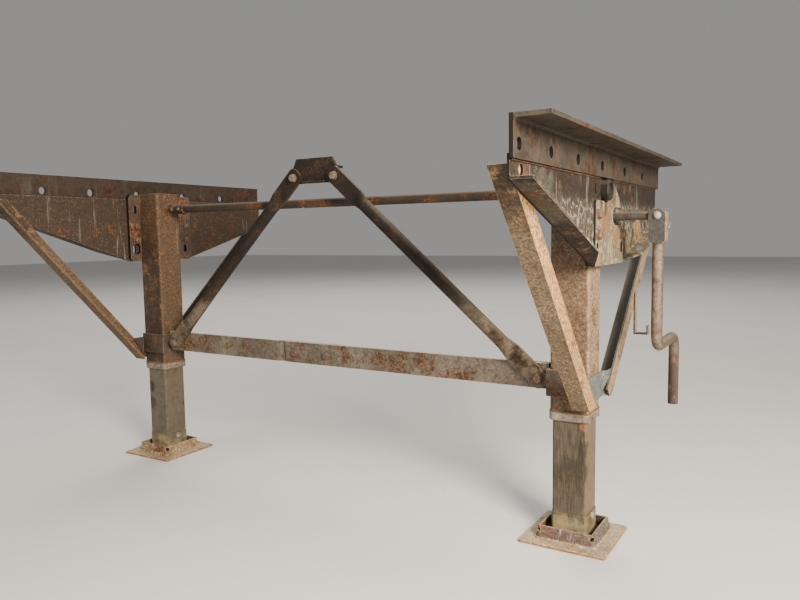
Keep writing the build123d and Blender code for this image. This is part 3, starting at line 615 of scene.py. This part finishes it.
def hex_bolt(form, centre, axis, flats=0.024, height=0.010, washer=0.015, turn=0.0, thread=0.0):
    """A washer and a six-sided head, or a nut with a thread's end standing out of it."""
    corner = flats / 2 / cos(pi / 6)
    thick = 0.0025 if washer else 0.0
    if washer:
        rim = [(0, washer - 0.0006), (0.0004, washer)]
        rim += [(thick - 0.0006, washer), (thick, washer - 0.0008)]
        turned(form, centre, axis, rim, 24)
    top = thick + height
    head = [(thick, corner * 0.97), (thick + 0.0006, corner)]
    head += [(top - 0.0018, corner), (top, corner * 0.86)]
    turned(form, centre, axis, head, 6, turn)
    crown = [(top - 0.0005, corner * 0.80), (top + 0.0004, corner * 0.78)]
    turned(form, centre, axis, crown, 18)
    if thread:
        stub = flats / 3
        end = [(top - 0.001, stub), (top + thread - 0.001, stub), (top + thread, stub - 0.001)]
        turned(form, centre, axis, end, 14)


def finish_piece(form, name, material, body):
    """Makes the object, gives it its material and lets it ride on its body."""
    bmesh.ops.recalc_face_normals(form, faces=form.faces)
    thing = new_object(name, form)
    thing.data.materials.append(material)
    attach(thing, body)
    return thing


bolt_steel = weathered_steel(
    "bolt steel",
    paint=(0.21, 0.165, 0.125),
    shade=(0.11, 0.085, 0.066),
    rust_cover=0.40,
    rust_scale=60.0,
    run_density=0.1,
    edge_colour=(0.40, 0.35, 0.29),
    edge_width=0.0015,
    dust=0.2,
    mottle=(120.0, 0.4),
    relief=0.0003,
)


# A leg's centre line, in mm
leg_line_x = 885.0
leg_line_y = 45.0


def at_leg(sign, out, back, z):
    """A place by its distance out from a leg's centre line, back from it, and up, in mm."""
    return Vector((sign * (leg_line_x + out), leg_line_y + back, z)) / 1000


# How far out from the leg's centre line the bolted plates' faces are, in mm
clamp_face = 83.15
wing_face = 77.15
plate_back_face = 57.15
# Each bolt: how far back from the centre line, its height, and the face its head sits on
plate_bolts = [
    (-74, -189, clamp_face),
    (-74, -246, clamp_face),
    (182, -246, clamp_face),
    (182, -189, wing_face),
]
nut_height = 0.013
for side, sign in sides:
    form = bmesh.new()
    for turn, (back, z, face) in enumerate(plate_bolts):
        hex_bolt(form, at_leg(sign, face, back, z), (sign, 0, 0), turn=turn * 0.7)
        nut, inwards = at_leg(sign, plate_back_face, back, z), (-sign, 0, 0)
        hex_bolt(form, nut, inwards, height=nut_height, turn=turn * 0.4, thread=0.006)
    finish_piece(form, f"plate_bolts_{side}", bolt_steel, "gear_frame")


def weld_run(form, points, radius, closed=False, wave=0.0042):
    """A weld bead along a path: a round bead whose ripples follow one another."""
    corners = [Vector(p) for p in points]
    if closed:
        corners.append(corners[0])
    lengths = [(b - a).length for a, b in zip(corners, corners[1:])]
    total = sum(lengths)
    steps = max(6, int(total / (wave / 3)))
    rings = []
    for k in range(steps + (0 if closed else 1)):
        where = total * k / steps
        i = 0
        while i < len(lengths) - 1 and where > lengths[i]:
            where -= lengths[i]
            i += 1
        way = (corners[i + 1] - corners[i]).normalized()
        side = way.orthogonal().normalized()
        unevenness = 0.05 * sin(k * 0.37) + 0.04 * sin(k * 1.91)
        ripple = 0.88 + 0.14 * abs(sin(pi * k / 3)) + unevenness
        rings.append(ring_of(form, corners[i] + way * where, way, side, radius * ripple, 8))
    for first, second in zip(rings, rings[1:]):
        bridge(form, first, second)
    if closed:
        bridge(form, rings[-1], rings[0])
    else:
        cap_ends(form, rings)


weld_steel = weathered_steel(
    "weld beads",
    paint=(0.20, 0.150, 0.110),
    shade=(0.11, 0.075, 0.055),
    rust_cover=0.55,
    rust_scale=30.0,
    run_density=0.1,
    edge_width=0.001,
    relief=0.0004,
)
plate_weld_out = 54.0
plate_weld_back = 54.5
plate_weld_top = -64
plate_weld_foot = -328
plate_weld_radius = 0.0048
for side, sign in sides:
    form = bmesh.new()
    for back in (-plate_weld_back, plate_weld_back):
        ends = [at_leg(sign, plate_weld_out, back, z) for z in (plate_weld_top, plate_weld_foot)]
        weld_run(form, ends, plate_weld_radius)
    finish_piece(form, f"leg_plate_welds_{side}", weld_steel, "gear_frame")

# Clamp plates
# Arched outer plates over the bearing hubs, notched for the crank. Their primer shows through,
# cream and green, with orange runs and a rust patch round the crank's root. Painted shade
# darkens their tops and the right plate.
clamp_paint = weathered_steel(
    "clamp plate paint",
    paint=(0.44, 0.345, 0.205),
    shade=(0.30, 0.265, 0.180),
    rust=(0.16, 0.090, 0.050),
    fresh=(0.430, 0.264, 0.119),
    rust_cover=0.32,
    rust_scale=13.0,
    spots=(0.62, 0.55, 0.48),
    spot_density=0.50,
    spot_fineness=110.0,
    run_colour=(0.568, 0.488, 0.329),
    run_density=0.45,
    run_spacing=60.0,
    edge_colour=(0.72, 0.62, 0.48),
    edge_width=0.0025,
    dust=0.2,
    mottle=(75.0, 0.70),
    flakes=(60.0, 0.55, (0.19, 0.175, 0.130), (0.55, 0.50, 0.38)),
    # Painted shade on the right side and across the tops
    bands=[(far_side_light_and_shade, (0.090, 0.070, 0.050)), (("z", -0.175, -0.140), (0.142, 0.112, 0.080))],
    stains=[
        ((0.967, 0.165, -0.245), 0.040, (0.33, 0.20, 0.10)),
        ((0.967, 0.055, -0.205), 0.052, (0.27, 0.165, 0.095)),
        ((0.967, 0.030, -0.165), 0.036, (0.090, 0.068, 0.046)),
        ((0.967, 0.080, -0.290), 0.040, (0.24, 0.235, 0.185)),
    ],
    shaded_cut_edges=(0.96810, (0.014, 0.011, 0.008)),
    relief=0.0010,
)
dress(both("clamp_plate"), clamp_paint)

# Outer legs
# Square tubes closed by a cap. The paint has rusted through in fine speckles. Painted shade
# darkens the top, the inner faces and the right leg, and the outer faces are tan, partly faded
# and partly painted light.
# Guide for bands on the outer faces: lighter there, partly fading and partly painted light
outer_faces_faded_and_lit = ("facing out", 0.4, 0.8)
leg_paint = weathered_steel(
    "leg paint",
    paint=(0.172, 0.124, 0.082),
    shade=(0.122, 0.088, 0.060),
    rust=(0.072, 0.037, 0.019),
    fresh=(0.220, 0.140, 0.075),
    rust_cover=0.34,
    rust_scale=18.0,
    spots=(2.3, 2.15, 1.95),
    spot_density=0.55,
    spot_fineness=150.0,
    spot_strength=0.6,
    run_colour=(0.288, 0.218, 0.140),
    edge_colour=(0.52, 0.42, 0.31),
    edge_width=0.0035,
    dust=0.3,
    mottle=(125.0, 0.75),
    # Painted shade on the right side, the inner faces and the top; painted light and fading
    # outside
    bands=[
        (far_side_light_and_shade, (0.036, 0.030, 0.025)),
        (outer_faces_faded_and_lit, (0.27, 0.205, 0.140)),
        (shaded_inner_faces, (0.100, 0.070, 0.046)),
        (("z", -0.30, -0.17), (0.095, 0.066, 0.045)),
    ],
    relief=0.0010,
)
dress(both("outer_leg"), leg_paint)

# Rail welds
# Beads along the lower edges of the rails' webs, where the wing plates come out from behind
# them, with a gap at the clamp plates.
rail_weld_out = 78.4
rail_weld_z = -89.2
rail_weld_laps = ((-672, -45), (92, 668))
thin_weld_radius = 0.0028
form = bmesh.new()
for sign in (1, -1):
    for lap in rail_weld_laps:
        ends = [at_leg(sign, rail_weld_out, back, rail_weld_z) for back in lap]
        weld_run(form, ends, thin_weld_radius)
finish_piece(form, "rail_welds", weld_steel, "gear_frame")

# Collars
# Cast rings that guide the inner legs, each welded on an outer leg's end with a bead all round.
# Rough, and a paler brown than the tubes.
collar_iron = weathered_steel(
    "collar casting",
    paint=(0.285, 0.260, 0.225),
    shade=(0.168, 0.135, 0.104),
    rust=(0.064, 0.038, 0.025),
    rust_scale=18.0,
    spot_density=0.40,
    spot_fineness=140.0,
    run_density=0.2,
    edge_colour=(0.52, 0.45, 0.35),
    edge_width=0.004,
    mottle=(90.0, 0.6),
    relief=0.0013,
)
dress(both("leg_collar"), collar_iron)


def square_path(sign, half, corner, z):
    """Points round a square tube's outside at one height, in mm."""
    points = []
    for k, (a, b) in enumerate(((1, 1), (-1, 1), (-1, -1), (1, -1))):
        for step in range(5):
            angle = pi / 2 * (k + step / 4)
            out = a * (half - corner) + corner * cos(angle)
            back = b * (half - corner) + corner * sin(angle)
            points.append(at_leg(sign, out, back, z))
    return points


tube_half = 57.15
tube_corner = 10
collar_weld_z = -756
ring_weld_radius = 0.0034
for side, sign in sides:
    form = bmesh.new()
    path = square_path(sign, tube_half, tube_corner, collar_weld_z)
    weld_run(form, path, ring_weld_radius, closed=True)
    finish_piece(form, f"collar_weld_{side}", weld_steel, "gear_frame")

# Inner legs
# Square tubes that slide in the outer ones, so their paint is scraped away in fine lines and
# they are dark with grease. Painted light makes the right one and the outer faces lighter.
slide_steel = weathered_steel(
    "sliding tube",
    paint=(0.074, 0.062, 0.042),
    shade=(0.048, 0.041, 0.029),
    rust=(0.033, 0.022, 0.014),
    fresh=(0.156, 0.090, 0.042),
    rust_cover=0.26,
    rust_scale=13.0,
    spot_density=0.35,
    run_colour=(0.138, 0.118, 0.084),
    run_density=0.62,
    run_spacing=300.0,
    run_strength=0.55,
    edge_colour=(0.34, 0.29, 0.20),
    dirt=(0.36, 0.31, 0.19),
    dirt_reach=0.12,
    mottle=(50.0, 0.35),
    # Painted light on the right side and on the outer faces
    bands=[(far_side_light_and_shade, (0.140, 0.118, 0.088)), (outer_faces_faded_and_lit, (0.165, 0.118, 0.056))],
    stains=[
        ((0.930, -0.006, -0.796), 0.015, (0.235, 0.115, 0.045)),
        ((0.926, -0.006, -0.860), 0.030, (0.040, 0.034, 0.024)),
        ((0.926, -0.006, -0.930), 0.030, (0.045, 0.038, 0.026)),
        ((0.866, -0.012, -1.088), 0.032, (0.30, 0.225, 0.095)),
    ],
    roughness=0.5,
    relief=0.0003,
)
dress(both("inner_leg"), slide_steel)

# Foot sleeves and pins
# Sockets welded in the shoes and cross-pinned to the inner legs: the same greasy steel, and
# pins as rusty as the bolts.
dress(both("foot_sleeve"), slide_steel)
dress(both("foot_pin"), bolt_steel)

# Sand shoes
# A base plate with an open box welded on it. The paint has gone brown and purple, the plate's
# edge is orange with rust, and pale dirt lies along the joint. Painted light makes the right
# shoe and the outer faces lighter.
shoe_paint = weathered_steel(
    "shoe paint",
    paint=(0.150, 0.112, 0.098),
    shade=(0.090, 0.066, 0.058),
    rust=(0.090, 0.045, 0.027),
    fresh=(0.24, 0.125, 0.070),
    rust_cover=0.36,
    rust_scale=16.0,
    spots=(2.6, 2.7, 2.6),
    spot_density=0.45,
    spot_fineness=120.0,
    edge_colour=(0.52, 0.34, 0.19),
    edge_width=0.004,
    dirt=(0.46, 0.38, 0.27),
    dirt_reach=0.004,
    dust=0.40,
    mottle=(110.0, 0.6),
    # Painted light on the right side and the outer faces; lighter faces that look up, pale dirt
    # along the joint and the plate's rusty edge
    bands=[
        (far_side_light_and_shade, (0.330, 0.245, 0.150)),
        (outer_faces_faded_and_lit, (0.150, 0.140, 0.122)),
        (("facing up", 0.6, 0.9), (0.190, 0.150, 0.108)),
        (("z", -1.1270, -1.1330), (0.370, 0.300, 0.200)),
        (("z", -1.1362, -1.1368), (0.300, 0.135, 0.050)),
    ],
)
dress(both("sand_shoe"), shoe_paint)
shoe_box_half = 90.0
shoe_box_corner = 14
shoe_weld_z = -1134.4
for side, sign in sides:
    form = bmesh.new()
    path = square_path(sign, shoe_box_half, shoe_box_corner, shoe_weld_z)
    weld_run(form, path, ring_weld_radius, closed=True)
    finish_piece(form, f"shoe_weld_{side}", shoe_paint, "gear_frame")

# Leg brackets
# Straps bent round the outer faces, with a plate wrapped round front and inner side, painted a
# blue-grey that has lasted best on the strap. The outer faces' lighter blue-grey is partly
# painted light.
bracket_paint = weathered_steel(
    "bracket paint",
    paint=(0.110, 0.088, 0.068),
    shade=(0.066, 0.052, 0.042),
    rust_cover=0.34,
    rust_scale=14.0,
    spot_density=0.40,
    run_colour=(0.26, 0.25, 0.21),
    run_density=0.2,
    edge_colour=(0.44, 0.38, 0.30),
    bands=[(outer_faces_faded_and_lit, (0.150, 0.188, 0.182))],
)
dress(both("leg_bracket"), bracket_paint)

# Front braces
# Angles from the wing plates' front ends down to the straps. Thick paint has come up in dense
# rust speckle. Painted light makes the outer faces orange, and painted shade darkens the tops
# and the right brace.
front_brace_paint = weathered_steel(
    "front brace paint",
    paint=(0.205, 0.162, 0.108),
    shade=(0.135, 0.101, 0.067),
    rust=(0.078, 0.050, 0.030),
    fresh=(0.240, 0.165, 0.095),
    rust_cover=0.32,
    rust_scale=22.0,
    spots=(2.3, 2.2, 2.05),
    spot_density=0.60,
    spot_fineness=150.0,
    spot_strength=0.65,
    run_density=0.10,
    edge_colour=(0.58, 0.46, 0.32),
    dust=0.2,
    mottle=(135.0, 0.82),
    # Painted shade on the right side and at the top, painted light on the outer faces
    bands=[
        (far_side_light_and_shade, (0.110, 0.076, 0.048)),
        (("z", -0.27, -0.17), (0.036, 0.024, 0.016)),
        (outer_faces_faded_and_lit, (0.43, 0.268, 0.130)),
    ],
    relief=0.0010,
)
dress(both("front_brace"), front_brace_paint)

# Rear braces and crank hook
# Angles from the straps up to the rear flanges, tan outside and nearly black within: painted
# light on the outer faces and painted shade on the rest. The hook that the crank is parked in is
# a bent strap on the left one, in the same paint.
rear_brace_lit_and_shaded = weathered_steel(
    "rear brace, painted light and shade",
    paint=(0.032, 0.026, 0.022),
    shade=(0.019, 0.016, 0.014),
    rust=(0.026, 0.018, 0.013),
    fresh=(0.20, 0.115, 0.060),
    rust_cover=0.22,
    spot_density=0.35,
    run_density=0.1,
    run_strength=0.1,
    edge_colour=(0.50, 0.42, 0.31),
    dust=0.2,
    mottle=(110.0, 0.5),
    # Painted light on the outer faces, over a near-black base that is painted shade
    bands=[(outer_faces_faded_and_lit, (0.36, 0.265, 0.175))],
)
dress(both("rear_brace") + ["crank_hook"], rear_brace_lit_and_shaded)

# Apex gusset
# The bent plate at the top that the cross braces meet on, held by two bolts through its seat.
# Nearly black, partly painted shade, with dust on what faces up.
cross_paint_light_and_shade = weathered_steel(
    "cross brace paint",
    paint=(0.024, 0.016, 0.011),
    shade=(0.014, 0.010, 0.007),
    rust=(0.017, 0.011, 0.008),
    fresh=(0.078, 0.044, 0.025),
    rust_cover=0.42,
    rust_scale=12.0,
    spot_density=0.40,
    run_density=0.1,
    edge_colour=(0.20, 0.165, 0.125),
    dirt=(0.150, 0.118, 0.085),
    dust=0.8,
    # Painted light on the lower ends
    bands=[(("z", -0.40, -0.52), (0.170, 0.138, 0.100))],
)
dress(["apex_gusset"], cross_paint_light_and_shade)

# Cross braces
# Round tubes with their ends pressed flat, bolted to the gusset above and to the leg brackets
# below, and dusty on top. Painted light makes their lower ends lighter.
dress(both("cross_brace"), cross_paint_light_and_shade)
lean = radians(4.5)
brace_top_y = -27.5


def at_brace(x, up, front):
    """A place in the plane of the cross braces, in mm, and so far in front of it."""
    y = brace_top_y - up * sin(lean) - front * cos(lean)
    return Vector((x, y, up * cos(lean) - front * sin(lean))) / 1000


forward = (0, -cos(lean), -sin(lean))
backward = (0, cos(lean), sin(lean))
# Each bolt: how far out and up it is, where its nut sits, and how its head is turned
brace_bolts = ((87, -36, 0, 0.3), (785, -669, -10, 0.9))
brace_front = 18
form = bmesh.new()
for turn, sign in enumerate((1, -1)):
    for out, up, nut_front, head_turn in brace_bolts:
        head = at_brace(sign * out, up, brace_front)
        hex_bolt(form, head, forward, turn=head_turn + turn)
        nut = at_brace(sign * out, up, nut_front)
        hex_bolt(form, nut, backward, height=nut_height, turn=turn, thread=0.008)
finish_piece(form, "cross_brace_bolts", bolt_steel, "gear_frame")

# Crossbar
# Two flat bars from leg to leg, lapped beside the middle and bolted together. Their paint is
# under rust and a coat of pale dust.
bar_paint = weathered_steel(
    "crossbar paint",
    paint=(0.218, 0.190, 0.150),
    shade=(0.130, 0.112, 0.090),
    rust=(0.056, 0.034, 0.023),
    fresh=(0.224, 0.140, 0.084),
    rust_cover=0.42,
    rust_scale=11.0,
    spot_density=0.42,
    spot_fineness=150.0,
    run_colour=(0.272, 0.240, 0.192),
    run_density=0.25,
    edge_colour=(0.56, 0.47, 0.36),
    edge_width=0.0035,
    dirt=(0.50, 0.43, 0.33),
    dust=0.85,
    mottle=(60.0, 0.5),
)
dress(both("crossbar"), bar_paint)
bar_half = 8
lap_bolts = (-150, -4)
lap_bolt_up = -663
form = bmesh.new()
for turn, x in enumerate(lap_bolts):
    hex_bolt(form, at_brace(x, lap_bolt_up, bar_half), forward, turn=0.4 + turn)
    nut = at_brace(x, lap_bolt_up, -bar_half)
    hex_bolt(form, nut, backward, height=nut_height, turn=turn, thread=0.006)
finish_piece(form, "crossbar_bolts", bolt_steel, "gear_frame")

# Cross drive
# A tube from leg to leg with a turned coupler at each end, through-bolted to it and to the
# short shafts into the legs. A boss is welded on each leg where the shaft goes in.
shaft_steel = weathered_steel(
    "shaft steel",
    paint=(0.058, 0.045, 0.031),
    shade=(0.036, 0.028, 0.020),
    rust_cover=0.32,
    rust_scale=16.0,
    spot_density=0.35,
    run_density=0.1,
    edge_colour=(0.50, 0.46, 0.40),
    dirt=(0.160, 0.122, 0.084),
    dust=0.7,
)
drive_nodes = ["cross_shaft"] + both("leg_shaft") + both("shaft_coupler") + both("shaft_boss")
dress(drive_nodes, shaft_steel)
shaft_z = -122
# Each coupler's bolts: how far out from the leg they are, and the coupler's radius there
coupler_bolts = ((-139.1, 19.5), (-95.1, 15.1))
boss_weld_out = -57.8
boss_weld_radius = 21.6
small_bolt = {"flats": 0.013, "washer": 0.0}
for side, sign in sides:
    form = bmesh.new()
    for out, radius in coupler_bolts:
        head = at_leg(sign, out, -radius, shaft_z)
        hex_bolt(form, head, (0, -1, 0), height=0.0055, turn=0.4, **small_bolt)
        nut = at_leg(sign, out, radius, shaft_z)
        hex_bolt(form, nut, (0, 1, 0), height=0.0065, thread=0.004, **small_bolt)
    finish_piece(form, f"coupler_bolts_{side}", bolt_steel, "cross_drive")
    form = bmesh.new()
    ring = []
    for k in range(24):
        angle = 2 * pi * k / 24
        back, up = boss_weld_radius * cos(angle), boss_weld_radius * sin(angle)
        ring.append(at_leg(sign, boss_weld_out, back, shaft_z + up))
    weld_run(form, ring, thin_weld_radius, closed=True)
    finish_piece(form, f"boss_weld_{side}", weld_steel, "gear_frame")

# Bearing hubs
# Castings that stand out of the legs' outer faces and carry the ends of the leg shafts, nearly
# black.
hub_iron = weathered_steel(
    "hub casting",
    paint=(0.018, 0.019, 0.016),
    shade=(0.010, 0.011, 0.009),
    rust_cover=0.22,
    rust_scale=24.0,
    run_density=0.1,
    edge_colour=(0.115, 0.115, 0.095),
    edge_width=0.002,
    dust=0.15,
    roughness=0.6,
)
dress(both("bearing_hub"), hub_iron)

# Gear case
# The housing behind the left leg that the crank shaft runs into, with a cover held by six small
# bolts.
case_iron = weathered_steel(
    "gear case paint",
    paint=(0.150, 0.130, 0.105),
    shade=(0.090, 0.076, 0.062),
    run_density=0.2,
)
dress(["gear_case"], case_iron)
cover_out = -53.0
cover_bolt_places = [(back, z) for z in (-104, -174, -244) for back in (72, 140)]
form = bmesh.new()
cover_bolt = {"flats": 0.013, "height": 0.0055, "washer": 0.009}
for turn, (back, z) in enumerate(cover_bolt_places):
    hex_bolt(form, at_leg(1, cover_out, back, z), (-1, 0, 0), turn=turn * 0.5, **cover_bolt)
finish_piece(form, "case_bolts", bolt_steel, "gear_frame")

# Crank shaft
# A round bar out of the gear case, with a rounded end that the handle pivots on. Grey under
# rust, and a paler brown towards its end.
crank_shaft_steel = weathered_steel(
    "crank shaft steel",
    paint=(0.085, 0.082, 0.073),
    shade=(0.052, 0.050, 0.044),
    rust=(0.028, 0.018, 0.013),
    fresh=(0.132, 0.077, 0.044),
    rust_cover=0.34,
    rust_scale=26.0,
    spot_density=0.40,
    run_density=0.05,
    dust=0.3,
    bands=[
        (("x", 1.0480, 1.0500), (0.165, 0.125, 0.095)),
        (("x", 1.0400, 1.0440), (0.085, 0.062, 0.050)),
    ],
    roughness=0.6,
)
dress(["crank_shaft"], crank_shaft_steel)

# Crank handle
# A bent tube in a folded clevis that pivots on one bolt, so the handle folds away. Its paint
# has gone brown, darkest on the grip, and the bolts are zinc plated. The clevis's outer faces
# are tan with painted light, and painted shade darkens the handle's rear and outer faces.
clevis_paint = weathered_steel(
    "clevis paint",
    paint=(0.072, 0.077, 0.074),
    shade=(0.045, 0.048, 0.046),
    rust=(0.035, 0.025, 0.018),
    fresh=(0.130, 0.083, 0.045),
    rust_cover=0.24,
    rust_scale=34.0,
    spot_density=0.45,
    run_density=0.1,
    edge_colour=(0.50, 0.41, 0.29),
    edge_width=0.0022,
    dust=0.2,
    # Painted light on the outer faces
    bands=[(outer_faces_faded_and_lit, (0.33, 0.225, 0.120))],
)
dress(["crank_clevis"], clevis_paint)
handle_paint = weathered_steel(
    "handle paint",
    paint=(0.208, 0.174, 0.140),
    shade=(0.140, 0.112, 0.090),
    rust=(0.068, 0.043, 0.035),
    fresh=(0.216, 0.133, 0.083),
    rust_cover=0.36,
    rust_scale=22.0,
    spot_density=0.45,
    spot_fineness=160.0,
    spot_strength=0.6,
    run_colour=(0.288, 0.252, 0.216),
    run_density=0.2,
    dust=0.2,
    mottle=(90.0, 0.55),
    bands=[
        # Painted shade on the rear and outer faces, and a darker grip
        (("facing back", 0.2, 0.9), (0.085, 0.062, 0.052)),
        (("z", -0.60, -0.66), (0.048, 0.033, 0.030)),
        (("facing out", 0.55, 1.0), (0.120, 0.088, 0.064)),
    ],
)
dress(["crank_handle"], handle_paint)
zinc = weathered_steel(
    "zinc plating",
    paint=(0.34, 0.335, 0.315),
    shade=(0.22, 0.215, 0.20),
    rust_cover=0.12,
    rust_scale=40.0,
    spot_density=0.12,
    run_density=0.05,
    edge_colour=(0.75, 0.74, 0.70),
    edge_width=0.0012,
    dust=0.1,
    roughness=0.4,
    relief=0.0002,
)
pivot = Vector((1.091, 0.155, -0.193))
cheek_out = 0.0222
bolt_radius = 0.008
front_cheek = pivot - Vector((0, cheek_out, 0))
rear_cheek = pivot + Vector((0, cheek_out, 0))
form = bmesh.new()
bolt_body = [(0, bolt_radius), (2 * cheek_out, bolt_radius)]
turned(form, front_cheek, (0, 1, 0), bolt_body, 20)
round_head = [
    (0, 0.0108),
    (0.0004, 0.0112),
    (0.0016, 0.0112),
    (0.0020, 0.0092),
    (0.0045, 0.0092),
    (0.0064, 0.0082),
    (0.0078, 0.0060),
    (0.0085, 0.0030),
    (0.0086, 0.0008),
]
turned(form, front_cheek, (0, -1, 0), round_head, 28)
hex_bolt(form, rear_cheek, (0, 1, 0), flats=0.021, washer=0.0125, thread=0.004)
pivot_piece = finish_piece(form, "round_pivot_bolt", zinc, "crank_handle")
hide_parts("pivot_bolt")
form = bmesh.new()
web_face = Vector((1.1132, 0.155, -0.221))
flat_washer = [(0, 0.0110), (0.0015, 0.0110), (0.0018, 0.0106)]
turned(form, web_face, (1, 0, 0), flat_washer, 24)
square_head = [(0.0015, 0.0098), (0.0020, 0.0104), (0.0082, 0.0104), (0.0092, 0.0088)]
turned(form, web_face, (1, 0, 0), square_head, 4, turn=0.35)
finish_piece(form, "clevis_square_bolt", zinc, "crank_handle")
